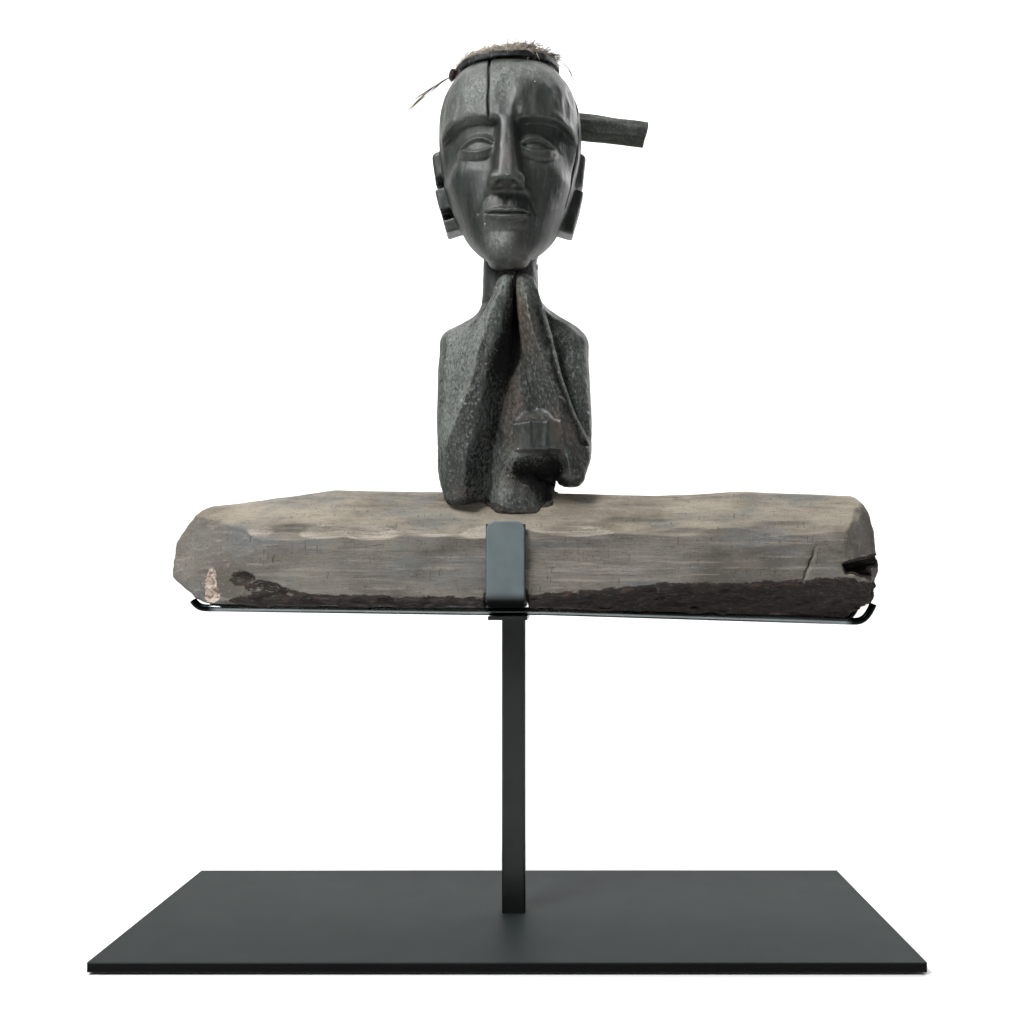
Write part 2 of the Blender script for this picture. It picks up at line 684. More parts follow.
BLANK = Shape(blank, BEAM_LOW, BEAM_HIGH)
TENON_PLACE, TENON_HALF = (4, -1, SEAT + 64), np.array([13, 11, 23])
TENON = block(TENON_PLACE, TENON_HALF, 0.4)
MORTISE = block(TENON_PLACE, TENON_HALF + GAP, 0.4)
FOOT_GAP = 0.2  # between the figure's foot and the beam

# Width of the splintered lower front edge along X.
BROKEN_EDGE = [(-234, 10), (-170, 9), (-100, 7), (-10, 6), (40, 10), (95, 18), (180, 22), (249, 28)]
FRESH_CHIPS = [
    ellipsoid((-202.5, -24.5, SEAT + 17), (3.4, 4, 5)),
    ellipsoid((-203.5, -23.5, SEAT + 10.5), (5, 4, 5)),
    ellipsoid((-202, -22.5, SEAT + 4), (6.4, 4, 4.5)),
]
RIGHT_BREAKS = [
    block((236, -22, SEAT + 25), (17, 15, 3.4), 1.5, -12),
    block((231, -26, SEAT + 20), (11, 12, 2.6), 1.2, 14),
    ellipsoid((253, -12, SEAT + 12), (7, 14, 8)),
    ellipsoid((236, -37, SEAT + 6), (13, 6, 6)),
    ellipsoid((226, -37, SEAT), (12, 5, 6)),
]
# Long chips split off the upper front edge, as (x, half-length, height above the edge). All but the
# last two are pale.
CHIPPED = [
    (-165, 26, 3.6), (-128, 30, 2.6), (-92, 24, 1.6), (-52, 36, 4), (-24, 16, 3),
    (44, 40, 4.2), (108, 36, 3.2), (176, 44, 4.6),
]
ARRIS_CHIPS = [
    ellipsoid((x, FRONT - 1, SEAT + FRONT_ARRIS + rise), (half, 5, 6)) for x, half, rise in CHIPPED
]
PALE_CHIPS = ARRIS_CHIPS[:6]
LEFT_SCOOPS = [
    ellipsoid((-185, -33, SEAT + 15), (15, 5, 4.8)),
    ellipsoid((-170, -36, SEAT + 9), (18, 4, 4.5)),
    ellipsoid((-158, -37, SEAT + 4), (22, 4.5, 5)),
    ellipsoid((-178, -39, SEAT + 33), (22, 6, 16)),
]


def near_shapes(x, y, z, shapes, reach):
    """1 on and inside any of the shapes, fading to 0 at a reach from them."""
    return fade(np.minimum.reduce([shape.distance(x, y, z) for shape in shapes]), reach, 0.3 * reach)


def broken_share(x, y, z):
    """1 on the splintered lower front edge and the broken right end, 0 elsewhere."""
    height = z - SEAT - underside(x)
    band = read(BROKEN_EDGE, x)
    edge = fade(height + 1.1 * (y - FRONT), band + 2.5, band - 0.5) * fade(y, -4, -14)
    end = fade(x, 214, 226) * fade(height, 25.5, 22.5) * fade(y, 6, -6)
    split = near_shapes(x, y, z, RIGHT_BREAKS[:2], 2.2)
    scooped = 0.8 * near_shapes(x, y, z, LEFT_SCOOPS[:3], 1.8)
    return np.maximum(np.maximum(edge, end), np.maximum(split, scooped))


def pale_share(x, y, z):
    """1 on the fresh faces of the chips, and on the bare fibres at the broken right end."""
    height = z - SEAT
    fibres = fade(x, 222, 236) * fade(height, 13, 14.5) * fade(height, 20, 18) * fade(y, -12, -22)
    return np.maximum(near_shapes(x, y, z, PALE_CHIPS, 1.6), 0.8 * fibres)


def sculpt_beam():
    rng = np.random.default_rng(23)
    carving = Carving(BEAM_LOW - 3, BEAM_HIGH + 3, grid_step(1.0))
    carving.join(BLANK)
    on_sides = lambda x, y, z: abs(x) < 225
    carving.knife(rng, 90, (1, 0, 0.02), width=60, length=420, depth=0.9, spacing=20, keep=on_sides)
    on_ends = lambda x, y, z: x < -168 or x > 222
    carving.knife(rng, 60, (0.1, 0, 1), width=30, length=70, depth=1.0, spacing=9, keep=on_ends)
    on_edge = lambda x, y, z: y < FRONT + 7 and z > SEAT + FRONT_ARRIS - 6 and abs(x + 8) > 16
    carving.knife(rng, 16, (1, 0, 0), width=18, length=190, depth=2.0, spacing=26, keep=on_edge)
    torn = noise_grid(carving.field.shape, np.array([9, 3, 3]) / carving.step, rng)
    x, y, z = carving.axes()
    band = read(BROKEN_EDGE, x) - 3
    chamfer = (band - (z - SEAT - underside(x)) - 1.25 * (y - FRONT)) / 1.6
    carving.field = smooth_max(carving.field, (chamfer + 1.6 * torn).astype(np.float32), 0.5)
    for shape in [*RIGHT_BREAKS, *LEFT_SCOOPS, *FRESH_CHIPS, *ARRIS_CHIPS]:
        carving.cut(shape, 0.8)
    above_rails = lambda x, y, z: fade(z - SEAT - underside(x), 1, 5)
    for cell, height in [((46, 9, 9), 0.7), ((26, 2.6, 2.6), 0.3), ((14, 1.4, 1.4), 0.2)]:
        roughen(carving, rng, cell, height, above_rails)
    roughen(carving, rng, (7, 2.2, 2.2), 1.5, broken_share)
    roughen(carving, rng, (3, 3, 2), 0.25, lambda x, y, z: near_shapes(x, y, z, FRESH_CHIPS, 2))
    carving.lift(beam_cracks)
    carving.cut(MORTISE)
    made, points, _, _ = carved_object("hewn_beam", carving, 6)
    write_values(
        made,
        broken=broken_share(*points.T),
        fresh=near_shapes(*points.T, FRESH_CHIPS, 1.3),
        pale=pale_share(*points.T),
    )
    finish_piece(made, "beam_wood", weathered_wood(), "beam")


def beam_cracks(x, y, z):
    """Drying cracks: one slants across the front near the right end, others run with the grain."""
    height = z - SEAT
    slant = x - (191 + (height - 11) * 0.38 + 0.4 * np.sin(height * 0.9))
    depth = 2.6 * bell(slant, 0.8) * fade(height, 8, 14) * fade(height, 39, 30)
    depth = depth * fade(y, -20, -30)
    for middle, level, half in [(60, 25, 50), (-90, 14, 40)]:
        line = height - level - 1.6 * np.sin(x * 0.06 + level)
        ends = fade(np.abs(x - middle), half, half * 0.5)
        depth = depth + 0.6 * bell(line, 0.8) * ends * fade(y, -20, -30)
    for middle, across, half in [(-70, -12, 55), (120, -8, 60), (-10, 16, 45), (170, 14, 40)]:
        line = y - across - 1.5 * np.sin(x * 0.05)
        ends = fade(np.abs(x - middle), half, half * 0.5)
        depth = depth + 0.8 * bell(line, 0.8) * ends * fade(height, 50, 58)
    return -depth


# ---------------------------------------------------------------- the figure

HEAD_X = -2.5
CHIN = 441.0
FACE = 153.0  # height of the whole head
EYE_Z = CHIN + 0.50 * FACE
BROW_Z = CHIN + 0.61 * FACE
NOSE_Z = CHIN + 0.31 * FACE
MOUTH_Z = CHIN + 0.20 * FACE
EYE_X = 19.6  # a fifth of the face's width
WIDEST = 541.0

# Sections are [height, half-width, half-depth, x, y], from the bottom up.
SKULL = [
    [447, 13.5, 13, HEAD_X, -32.5],
    [453, 20, 20, HEAD_X, -27],
    [462, 27, 30, HEAD_X, -18.5],
    [474, 33.5, 40, HEAD_X, -9.5],
    [488, 39.5, 46.5, HEAD_X, -3],
    [504, 44.5, 50, HEAD_X, 1],
    [522, 47.8, 52, HEAD_X, 3],
    [WIDEST, 49, 53, HEAD_X, 4],
    [554, 48.2, 52.2, HEAD_X, 4.5],
    [566, 44.8, 49, HEAD_X, 5.5],
    [576, 39.6, 43.6, HEAD_X, 7],
    [584, 32.6, 36.5, HEAD_X, 8.5],
]
SKULL_CAP = 10.0  # height of the rounded cap over the last section

TORSO = [
    [258, 25.5, 20.5, 4, -1],
    [290, 25.5, 20.5, 4, -1],
    [304, 24, 21, 3, -0.5],
    [330, 26, 22, 1, -0.5],
    [362, 33, 23.5, 0, 1.5],
    [386, 43, 24, 0, 4],
    [397, 47, 23.5, 0.3, 4],
    [407, 45, 21, 0.3, 4],
    [412, 39, 19.8, 2, 3.5],
    [417, 30.5, 18.6, 2, 3],
    [424, 22.8, 17.2, -0.4, 2],
    [430, 20.2, 16.7, -2, 1.4],
    [442, 19.2, 16.8, -2.2, 1],
    [468, 18.5, 18, -2, 3],
    [490, 17, 18, -1.8, 6],
]

RIGHT_UPPER_ARM = [
    [293, 10.5, 12, -36.5, -14],
    [304, 13.1, 15, -37.2, -10.5],
    [325, 13.6, 16, -38.3, -6],
    [352, 13.6, 17, -39.0, -3],
    [380, 13.6, 18, -38.4, 0],
    [395, 13.4, 16.5, -37.4, 2],
]

LEFT_UPPER_ARM = [
    [307, 11, 12.5, 38.5, -14],
    [318, 13.6, 15, 39.2, -9.5],
    [334, 14, 16, 39.6, -6],
    [356, 13.9, 17, 39.4, -3],
    [380, 13.6, 18, 38.6, 0],
    [395, 13.4, 16.5, 37.8, 2],
]

# Each section of the forearms runs from the outer edge of the broad front plane over one or two
# crests to the groove between the arms, and then back inside the body.
RIGHT_FOREARM = [
    [288, (-45, -13), (-40, -24), (-31, -28), (-18.5, -18), (-17, -4), (-44, -4)],
    [300, (-48.5, -14), (-44, -25.5), (-31.2, -31.5), (-16, -19), (-15, -3), (-48, -3)],
    [314, (-49.8, -15.5), (-45.2, -27.5), (-30.3, -34.5), (-14, -20), (-13, -2), (-49.5, -2)],
    [330, (-49.8, -17), (-42, -31), (-25.5, -36.5), (-10.5, -21), (-10, -2), (-49.5, -2)],
    [341, (-48.8, -18), (-36.8, -34), (-23, -37.3), (-7.5, -21.5), (-7, -2), (-48.5, -2)],
    [358, (-47, -18.5), (-29.8, -36.8), (-19.5, -38), (-4, -22), (-4, -2), (-46.5, -2)],
    [373, (-44.5, -18.5), (-24.9, -37.4), (-14.5, -37.8), (-2.5, -23), (-3, -2), (-44, -2)],
    [388, (-42.5, -16.5), (-21.7, -37.6), (-10, -36.5), (-1.2, -24.5), (-2, -2), (-42, -2)],
    [402, (-35, -18), (-16.9, -38), (-7, -35.5), (-0.4, -26.5), (-1, -4), (-32, -4)],
    [416, (-19, -26), (-12, -38), (-4.5, -35.5), (0.6, -29.5), (0, -14), (-17, -14)],
    [427, (-13, -29), (-7.6, -38), (-2.2, -37.5), (1.2, -34), (1, -17), (-12, -17)],
    [438, (-9.5, -30), (-5.4, -37), (-1, -37.2), (1.6, -35.5), (1.6, -20), (-8.5, -20)],
]

LEFT_FOREARM = [
    [299, (31.5, -14), (38, -26), (46.5, -14), (46, -3), (32, -3)],
    [312, (30, -18), (38, -31.5), (49.8, -17), (49, -3), (31, -3)],
    [327, (14, -20), (34, -33.5), (50.5, -21), (50, -3), (15, -3)],
    [338, (12, -22), (33, -34.5), (46.5, -25), (46, -3), (13, -3)],
    [348, (14, -22.5), (32, -35), (41.7, -26.5), (41, -3), (15, -3)],
    [373, (9, -24), (23.5, -37.2), (32.9, -28.5), (32, -3), (9.5, -3)],
    [388, (6.5, -25.5), (18, -37.8), (29, -29.5), (28, -3), (7, -3)],
    [402, (4.5, -27.5), (13, -38), (25.3, -30), (24, -6), (5, -6)],
    [416, (3, -30), (10.5, -38), (20.6, -31), (19.5, -14), (3.4, -14)],
    [427, (2.2, -34.5), (8.6, -38), (17.8, -32), (17, -17), (2.4, -17)],
    [438, (1.9, -35.5), (6.6, -37.3), (13.8, -33), (13, -20), (1.9, -20)],
]

# Chiselled faces left in front of the left elbow, and the deep hollow below them.
ELBOW_BLOCKS = [
    block((9.5, -26.5, 330.3), (6.6, 9.5, 9.4), 1.2, -5, -18),
    block((17, -26, 330.8), (6.5, 10.5, 9.6), 1.2, 2, 4),
    block((25.5, -25.5, 331), (6.5, 10.2, 9.2), 1.2, 4, 16),
]
ELBOW_RIDGE = ellipsoid((17, -23, 338), (14, 10.5, 10))
ELBOW_HOLLOW = ellipsoid((16, -27, 309.5), (17, 15, 11.5))
PALM_X = 1.75  # the line between the hands
# Old soot in the groove between the hands and beside the chest, as (z, left edge, right edge).
SOOT_EDGES = [
    (298, -34, -17), (310, -31, -15), (325, -26, -13), (340, -18, -9), (355, -18.5, -5.5),
    (370, -17, -1), (385, -13, 5.5), (400, -6, 5), (416, -1.5, 3.2), (436, 0.3, 2.2),
]
SOOT_SPOTS = [
    ((15, -20, 309), (18, 13, 10)), ((-2, -22, 449), (17, 12, 7)), ((31, -16, 306), (7, 8, 9)),
    ((25, -14, 295), (12, 12, 11)), ((HEAD_X - 47, -2, 509.6), (9, 9, 3)),
    ((HEAD_X - 42, -1, 487.6), (9, 9, 3)),
]

# The raised edge of the left forearm, as (x, z) from the wrist down to the elbow.
FOREARM_EDGE = [(20.7, 414.6), (25.1, 400.3), (31.9, 372.5), (40.7, 348.1), (51.4, 327)]

EAR_Y, EAR_OUT = 4.0, 51.5  # middle of the ears, and how far they reach from the middle of the head


def along_line(x, z, route):
    """Distance in the X-Z plane to a line of points."""
    best = np.full(np.broadcast(x, z).shape, FAR)
    for (ax, az), (bx, bz) in zip(route, route[1:]):
        dx, dz = bx - ax, bz - az
        share = np.clip(((x - ax) * dx + (z - az) * dz) / (dx * dx + dz * dz), 0, 1)
        best = np.minimum(best, np.hypot(x - ax - share * dx, z - az - share * dz))
    return best


def nose(x, y, z):
    """A straight nose of flat planes: ridge, two sides and base."""
    ridge = -51 - 0.27 * (BROW_Z - z)
    half = 3.4 + (BROW_Z - z) / 20
    side = (np.abs(x - HEAD_X) - half - 0.5 * (y - ridge)) / 1.12
    base = 0.94 * (NOSE_Z - 0.3 * (y + 56) - z)
    return smooth_max(smooth_max((ridge - y) / 1.04, side, 2.5), base, 2.2)


def swell(x, z, cx, cz, rx, rz):
    """A soft bump in the X-Z plane, on both sides of the face."""
    return np.exp(-(((np.abs(x - HEAD_X) - cx) / rx) ** 2) - ((z - cz) / rz) ** 2)


def face_relief(x, y, z):
    """Height of the face's features over the skull: brows, eyes, cheeks and mouth."""
    u = np.abs(x - HEAD_X)
    arch = np.sin(np.pi * np.clip((u - 4) / 44, 0, 1))
    brow = BROW_Z - 1.5 + 3.5 * arch - 6 * np.clip((u - 32) / 16, 0, 1) ** 2
    below = brow - z
    orbit = 5.6 * fade(below, -0.4, 1.8) * fade(below, 36, 13) * fade(u, 3.5, 8.5)
    ridge = 1.1 * bell(below + 3, 3.4) * fade(u, 50, 40)
    dz = z - EYE_Z
    ball = 4.6 * np.sqrt(np.clip(1 - ((u - EYE_X) / 14) ** 2 - (dz / 9.5) ** 2, 0, 1))
    half_long, half_high = 11.4, 4.7
    radius = (half_long**2 + half_high**2) / (2 * half_high)
    upper = np.hypot(u - EYE_X, dz + radius - half_high) - radius
    lower = np.hypot(u - EYE_X, dz - radius + half_high) - radius
    almond = np.maximum(upper, lower)
    lids = 1.5 * bell(almond, 1.15) * (1 + 0.35 * np.sign(dz))
    crease = 0.8 * bell(almond - 3.4, 0.9) * fade(dz, 0, 2)
    eyeball = 0.7 * fade(almond, -0.4, -1.8)
    cheek = 1.6 * swell(x, z, 31, EYE_Z - 15, 10, 9)
    made = ridge - orbit + ball + lids - crease - eyeball + cheek
    return (made + mouth_relief(x, z)) * fade(y, -12, -28)


def mouth_relief(x, z):
    """Closed, level lips, with the hollow above the chin and the chin itself."""
    u = np.abs(x - HEAD_X)
    share = np.clip(u / 14.5, 0, 1)
    line = MOUTH_Z + 0.9 * share**2
    width = np.sqrt(np.clip(1 - share**2, 0.001, 1))
    upper = np.clip((z - line) / (4.3 * width * (1 - 0.22 * bell(u, 2.2))), 0, 1)
    lower = np.clip((line - z) / (5.4 * width), 0, 1)
    lips = 1.9 * np.sin(np.pi * upper) ** 0.8 + 2.3 * np.sin(np.pi * lower) ** 0.8
    lips = lips * fade(share, 1, 0.75)
    parting = 1.1 * bell(z - line, 0.75) * fade(u, 15.8, 13)
    muzzle = 2.2 * swell(x, z, 0, MOUTH_Z, 18, 12)
    hollow = 1.3 * swell(x, z, 0, MOUTH_Z - 10, 11, 2.6)
    chin = 2.6 * swell(x, z, 0, CHIN + 10, 12, 6)
    groove = 0.7 * bell(u, 1.5)
    groove = groove * fade(z, MOUTH_Z + 4, MOUTH_Z + 7) * fade(z, NOSE_Z + 1, NOSE_Z - 3)
    fold = 0.8 * bell(along_line(u, z, [(10, NOSE_Z), (18.5, MOUTH_Z + 2)]), 1.3)
    return lips - parting + muzzle - hollow + chin - groove - fold


def head_cracks(x, y, z):
    """Two drying cracks: down the forehead, and down the left side of the head."""
    front = x + 14.7 - 0.15 * np.sin(z * 0.25)
    depth = 3.6 * bell(front, 0.55) * fade(z, BROW_Z - 2, BROW_Z + 4) * fade(y, 0, -10)
    around = np.degrees(np.arctan2(4 - y, x - HEAD_X))
    place = np.interp(z, [481, 522, 564], [32, 23, 20]) + 0.8 * np.sin(z * 0.19)
    side = np.radians(around - place) * 48
    depth = depth + 3.0 * bell(side, 0.75) * fade(z, 482, 496) * fade(z, 572, 560) * (x > 0)
    return -depth


def hand_relief(x, y, z):
    """The line between the hands, and the raised edge of the left forearm."""
    parting = 1.6 * bell(x - PALM_X, 0.8) * fade(z, 396, 412)
    edge = 1.2 * bell(along_line(x, z, FOREARM_EDGE), 0.75)
    beside = 1.0 * bell(along_line(x - 2.6, z, FOREARM_EDGE), 1.8)
    inside = 0.8 * bell(along_line(x + 2.8, z, FOREARM_EDGE), 2.0)
    return (edge - beside - inside - parting) * fade(y, -8, -16)


def back_relief(x, y, z):
    """The groove of the spine, the shoulder blades and the nape."""
    spine = 2.2 * bell(x, 4.5) * fade(z, 296, 320) * fade(z, 412, 392)
    blades = 1.8 * np.exp(-(((np.abs(x) - 20) / 9) ** 2) - ((z - 385) / 14) ** 2)
    return (blades - spine) * fade(y, 6, 16)


def near_spots(x, y, z, spots):
    """1 at the middle of each spot (centre, radii), fading to 0 round it."""
    made = 0.0
    for centre, radii in spots:
        away = sum(((p - c) / r) ** 2 for p, c, r in zip((x, y, z), centre, radii))
        made = made + np.exp(-away)
    return np.clip(made, 0, 1)


# Where handling has worn the dark finish to brown.
WORN_SPOTS = [
    ((4, -36, 428), (9, 14, 15)), ((8, -34, 400), (8, 12, 24)), ((5, -24, 335), (13, 12, 46)),
    ((0, -18, 446), (8, 12, 9)),
    ((-2, -62, 498), (5, 6, 14)), ((-30, -30, 300), (8, 10, 10)), ((34, -34, 330), (10, 10, 20)),
    ((0, -24, 360), (7, 10, 12)), ((-12, -24, 300), (10, 10, 14)),
]
# Where the skin is dry, pale and pitted.
DRY_SPOTS = [
    ((-4, -48, 566), (7, 16, 17)), ((-13, -48, 556), (12, 16, 8)), ((-16, -38, 404), (4, 6, 9)),
    ((-3.7, -37, 435), (3, 6, 6)), ((-6.6, -37, 427), (3.5, 6, 6)), ((-12, -37, 416), (4, 6, 8)),
    ((9, -37, 431), (5, 6, 10)), ((-12, -22, 296), (9, 10, 16)),
    ((-26, -40, 550), (12, 16, 18)), ((20, -44, 572), (20, 14, 10)),
    ((-8, -48, 455), (8, 12, 7)), ((-43, 10, 550), (8, 40, 20)), ((46, 12, 556), (8, 40, 24)),
    ((46, 12, 380), (8, 30, 36)), ((0, 28, 380), (36, 16, 36)), ((6, -22, 318), (12, 10, 6)),
]


def light_plane(x, y, z):
    """1 on the broad front plane of the right arm, from shoulder to elbow, and less beyond its edge."""
    crest = read([(level[0], level[2][0]) for level in RIGHT_FOREARM], z)
    outer = np.interp(z, [300, 340, 372, 400], [-49, -48, -45, -44])
    across = fade(x, crest + 0.8, crest - 0.8) * (0.4 + 0.6 * fade(x, outer - 2, outer + 1.5))
    return across * fade(z, 316, 336) * fade(z, 418, 408) * fade(y, -2, -9)


def forearm_edge(x, y, z):
    """1 along the raised edge of the left forearm."""
    return fade(along_line(x, z, FOREARM_EDGE), 1.3, 0.5) * fade(y, -8, -14)


def soot_share(x, y, z):
    """Where old soot lies deep: the groove beside the chest, the hollow at the elbow and the throat."""
    level, left, right = zip(*SOOT_EDGES)
    left, right = np.interp(z, level, left), np.interp(z, level, right)
    groove = fade(x, left - 7, left + 5) * fade(x, right + 1.2, right - 1.2)
    groove = groove * fade(z, 438, 430) * fade(y, -8, -14) * (0.58 + 0.4 * fade(z, 355, 385))
    beside = 0.45 * fade(along_line(x + 4, z, FOREARM_EDGE), 6, 0.5) * fade(y, -12, -18)
    return np.clip(groove + 1.3 * near_spots(x, y, z, SOOT_SPOTS) + beside, 0, 1)


def gritty_share(x, y, z):
    """How pitted the skin is: most on the chest and the arms' fronts, least on the head."""
    front = fade(y, -8, -16) * fade(z, 440, 430)
    chiselled = fade(np.abs(x - 17), 16, 13) * fade(np.abs(z - 330.5), 11, 9)
    return np.maximum(0.15 + 0.15 * fade(z, 440, 425), 0.9 * front * (1 - 0.8 * chiselled))


def carve_ear(carving, side):
    """A stepped ear: a rounded lobe, a notch, and a long leaning block with a hollow across its front."""
    out = EAR_OUT if side > 0 else EAR_OUT + 1.2
    y = EAR_Y + side * 1.5
    front = y - 9
    carving.join(block((HEAD_X + side * (out - 8), y, 519), (8, 8.5, 12), 4.2, side * 7), 0.8)
    carving.join(block((HEAD_X + side * (out - 14), y + 1.5, 491.5), (9.6, 8.5, 15.3), 1.3, side * 15), 0.8)
    notch = ellipsoid((HEAD_X + side * (out + 1), y - 2, 506.2), (6.5, 16, 1.3))
    carving.cut(notch, 0.5)
    if side < 0:
        carving.cut(block((HEAD_X + side * (out - 8), front, 509.6), (14, 8.5, 4.2), 1, side * 7), 0.5)
        carving.cut(block((HEAD_X + side * (out - 10), front + 2, 487.6), (14, 8.5, 3.9), 1, side * 15), 0.5)


def sculpt_figure():
    rng = np.random.default_rng(11)
    low, high = corners("figure")
    carving = Carving(low - 4, high + 4, STEP_FIGURE)
    carving.join(loft(TORSO, 2.4, 1, 6))
    for arm in (RIGHT_UPPER_ARM, LEFT_UPPER_ARM):
        carving.join(loft(arm, 2.5, 7, 12), 9)
    carving.join(wedge(RIGHT_FOREARM, 1.2, 5), 2)
    carving.join(wedge(LEFT_FOREARM, 1.4, 5), 1.4)
    carving.cut(ELBOW_HOLLOW, 1.5)
    for shape in ELBOW_BLOCKS:
        carving.join(shape, 2.2)
    carving.join(ELBOW_RIDGE, 4)
    carving.lift(hand_relief, high=(60, -5, 445))
    carving.lift(back_relief, low=(-60, 4, 280), high=(60, 60, 425))
    skull = loft(SKULL, 2.35, 6, SKULL_CAP)
    raised = lambda x, y, z: skull.distance(x, y, z - 0.13 * fade(z, 540, 585) * np.maximum(0, y - 4))
    carving.join(Shape(raised, skull.low, skull.high + [0, 0, 6]), 1.5)
    carving.lift(face_relief, low=(-60, -75, 440), high=(60, -8, 570))
    carving.join(Shape(nose, (HEAD_X - 16, -68, NOSE_Z - 6), (HEAD_X + 16, -40, BROW_Z + 4)), 3.5)
    for side in (-1, 1):
        carving.join(ellipsoid((HEAD_X + side * 7.2, -54.5, NOSE_Z + 3.6), (4.6, 6.4, 4.8)), 2.5)
        carving.cut(ellipsoid((HEAD_X + side * 4.6, -58, NOSE_Z - 0.6), (2.2, 3.6, 2.2)), 0.8)
    on_head = lambda x, y, z: z > 466 and (y > -16 or z > BROW_Z + 7)
    carving.knife(rng, 230, (0.05, 0, 1), width=22, length=120, depth=0.6, spacing=8, keep=on_head)
    off_chest = lambda x, y, z: z < 424 and not (abs(x - 6) < 24 and y < -10)
    carving.knife(rng, 210, (-0.1, 0, 1), width=22, length=110, depth=0.45, spacing=8, keep=off_chest)
    ears = Carving(low - 4, high + 4, STEP_FIGURE)
    for side in (-1, 1):
        carve_ear(ears, side)
    carving.field = smooth_min(carving.field, ears.field, 1.5).astype(np.float32)
    roughen(carving, rng, (10, 10, 16), 0.3)
    roughen(carving, rng, (2.6, 2.6, 8), 0.13)
    roughen(carving, rng, (1.8, 1.8, 2.4), 0.5, gritty_share)
    carving.lift(head_cracks, low=(-60, -75, 470))
    carving.cut(Shape(lambda x, y, z: blank(x, y, z) - FOOT_GAP, BEAM_LOW, BEAM_HIGH))
    carving.join(TENON)
    carving.cut(Shape(lambda x, y, z: peg_bar(x, y, z) - GAP, *corners("head_peg")))
    points, quads = carving.skin()
    made = mesh_object("carved_figure", points, quads)
    place = points.T
    blocked = near_shapes(*place, [*ELBOW_BLOCKS, ELBOW_RIDGE], 4)
    write_values(
        made,
        proud=convexity(points, quads, 7)[0] * (1 - 0.8 * blocked),
        grit=gritty_share(*place) * (1 - 0.5 * blocked),
        deep=-convexity(points, quads, int(50 / STEP_FIGURE**2))[0],
    )
    dry = np.maximum(light_plane(*place), 0.85 * forearm_edge(*place))
    write_values(
        made,
        worn=0.12 + near_spots(*place, WORN_SPOTS),
        dry=np.maximum(near_spots(*place, DRY_SPOTS), dry),
        soot=soot_share(*place),
    )
    tones = [(0.008, 0.0105, 0.0095), (0.021, 0.0265, 0.0235), (0.080, 0.090, 0.081), (0.062, 0.046, 0.036)]
    finish_piece(made, "figure_wood", carved_wood("figure_wood", *tones, (0.36, 0.5)), "figure")


# ---------------------------------------------------------------- the peg at the back of the head

PEG_START, PEG_END = np.array([12, 23, 562.5]), np.array([93.5, 31, 556])
PEG_FACETS = [9.3, 9.8, 9.1, 9.6, 9.2, 9.7, 9.4, 9.0]  # distance of each hewn facet from the axis
PEG_LENGTH = np.linalg.norm(PEG_END - PEG_START)
PEG_AXIS = (PEG_END - PEG_START) / PEG_LENGTH


def peg_bar(x, y, z):
    """Distance to the eight-sided peg, which tapers to its free end."""
    offset = x - PEG_START[0], y - PEG_START[1], z - PEG_START[2]
    t = sum(part * a for part, a in zip(offset, PEG_AXIS))
    across = np.cross([0, 1, 0], PEG_AXIS)
    across /= np.linalg.norm(across)
    up = np.cross(PEG_AXIS, across)
    taper = 1.04 - 0.10 * t / PEG_LENGTH
    made = np.maximum(-t, t - PEG_LENGTH + 0.08 * sum(part * a for part, a in zip(offset, across)))
    for n, size in enumerate(PEG_FACETS):
        angle = math.radians(45 * n + 18)
        facing = math.cos(angle) * across + math.sin(angle) * up
        made = smooth_max(made, sum(part * a for part, a in zip(offset, facing)) - size * taper, 0.9)
    return made


def sculpt_peg():
    rng = np.random.default_rng(5)
    low, high = corners("head_peg")
    carving = Carving(low - 2, high + 2, grid_step(0.5))
    carving.join(Shape(peg_bar, low, high))
    carving.knife(rng, 50, PEG_AXIS, width=40, length=320, depth=0.4, spacing=7)
    roughen(carving, rng, (16, 6, 6), 0.3)
    roughen(carving, rng, (9, 1.8, 1.8), 0.12)
    made, points, _, normal = carved_object("hewn_peg", carving, 6)
    upward = normal[:, 2]
    write_values(
        made,
        worn=fade(upward, -0.2, -0.8) * 0.5,
        soot=np.zeros(len(points)),
        deep=1.3 * fade(upward, 0.05, -0.6),
        grit=np.full(len(points), 0.3),
        dry=fade(upward, 0.2, 0.8) * 0.7,
    )
    tones = [(0.013, 0.016, 0.014), (0.034, 0.039, 0.032), (0.12, 0.125, 0.105), (0.030, 0.040, 0.014)]
    finish_piece(made, "peg_wood", carved_wood("peg_wood", *tones, (0.5, 0.65)), "head_peg")


# ---------------------------------------------------------------- the gum round the foot


def sculpt_collar():
    rng = np.random.default_rng(3)
    low, high = corners("gum_collar")
    carving = Carving(low - 2, high + 2, grid_step(0.6))
    foot = loft([[250, *TORSO[0][1:]], [310, *TORSO[0][1:]]], 2.4)
    x, y, z = carving.axes()
    crust = np.abs(blank(x, y, z) - FOOT_GAP) - 0.9
    carving.field = np.maximum(foot.distance(x, y, z) - 1.6, crust).astype(np.float32)
    roughen(carving, rng, (6, 6, 6), 1.3)
    roughen(carving, rng, (2, 2, 2), 0.5)
    made = carved_object("gum_residue", carving, 4)[0]
    dirty = gum("dirty_gum", (0.010, 0.009, 0.008), (0.055, 0.045, 0.036), (0.20, 0.18, 0.15), 0.7)
    finish_piece(made, "gum", dirty, "gum_collar")


# ---------------------------------------------------------------- the wig

RIM_LOW, RIM_HIGH = corners("wig_rim")
RIM_MIDDLE = (RIM_LOW + RIM_HIGH) / 2
RIM_BAND, RIM_HEIGHT = 3.0, 4.4
RIM_RADII = (RIM_HIGH - RIM_LOW)[:2] / 2 - RIM_BAND / 2 - 0.4
RIM_ROLL, RIM_PITCH = math.radians(-4), math.radians(7)  # lower at the figure's right, and at the front


